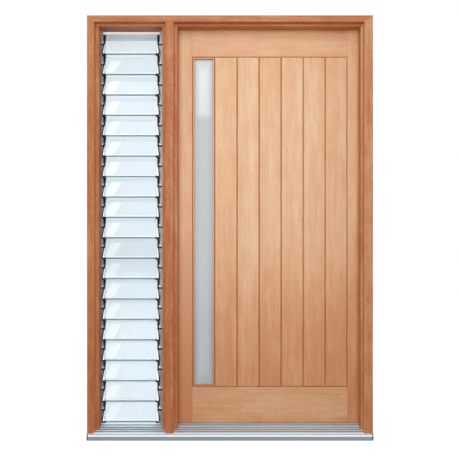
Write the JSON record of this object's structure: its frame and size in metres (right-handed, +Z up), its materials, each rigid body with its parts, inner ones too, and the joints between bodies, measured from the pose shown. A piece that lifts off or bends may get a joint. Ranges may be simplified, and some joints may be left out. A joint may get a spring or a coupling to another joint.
{
  "type": "plank door with louvre sidelight",
  "caption": "Hardwood plank entrance door with a tall obscure-glass strip, hung in a rebated timber frame with a glass louvre sidelight and a fluted aluminium sill.",
  "frame": {"origin": "on the underside of the sill, at the middle of the frame's width, in the plane of the frame's outside face", "axes": "+X to the right seen from outside, +Y inwards through the frame, +Z up"},
  "size_m": [1.441, 0.159, 2.1395],
  "materials": {
    "frame_timber": "oiled red-brown hardwood",
    "leaf_timber": "sanded pale hardwood",
    "obscure_glass": "frosted",
    "louvre_glass": "clear, polished edges",
    "sill_aluminium": "mill finish, fluted",
    "gallery_aluminium": "grey anodised",
    "bright_aluminium": "bright",
    "clip_plastic": "black nylon",
    "end_cap_plastic": "dark grey",
    "hinge_steel": "satin"
  },
  "bodies": {
    "frame": {"head": "frame_timber", "left_jamb": "frame_timber", "mullion": "frame_timber", "right_jamb": "frame_timber", "sill": "sill_aluminium", "sill_end_caps": "end_cap_plastic", "louvre_head_fillet": "frame_timber", "louvre_head_bar": "bright_aluminium", "louvre_sill_bar": "gallery_aluminium", "left_gallery": "gallery_aluminium", "right_gallery": "gallery_aluminium", "louvre_clip_bodies": "clip_plastic", "louvre_clip_plates": "bright_aluminium", "frame_hinges": "hinge_steel", "louvre_blade_01": "louvre_glass", "louvre_blade_02": "louvre_glass", "louvre_blade_03": "louvre_glass", "louvre_blade_04": "louvre_glass", "louvre_blade_05": "louvre_glass", "louvre_blade_06": "louvre_glass", "louvre_blade_07": "louvre_glass", "louvre_blade_08": "louvre_glass", "louvre_blade_09": "louvre_glass", "louvre_blade_10": "louvre_glass", "louvre_blade_11": "louvre_glass", "louvre_blade_12": "louvre_glass", "louvre_blade_13": "louvre_glass", "louvre_blade_14": "louvre_glass", "louvre_blade_15": "louvre_glass", "louvre_blade_16": "louvre_glass", "louvre_blade_17": "louvre_glass", "louvre_blade_18": "louvre_glass", "louvre_blade_19": "louvre_glass"},
    "leaf": {"lock_stile": "leaf_timber", "hinge_stile": "leaf_timber", "top_rail": "leaf_timber", "bottom_rail": "leaf_timber", "plank_1": "leaf_timber", "plank_2": "leaf_timber", "plank_3": "leaf_timber", "plank_4": "leaf_timber", "plank_5": "leaf_timber", "plank_6": "leaf_timber", "strip_glass": "obscure_glass", "outside_bead": "leaf_timber", "inside_bead": "leaf_timber", "leaf_hinges": "hinge_steel"}
  },
  "joints": [
    {"name": "leaf_swing", "type": "hinge", "parent": "frame", "child": "leaf", "pos_m": [0.67375, 0.141, 1.08], "axis": [0, 0, -1], "range_deg": [0, 110]}
  ]
}
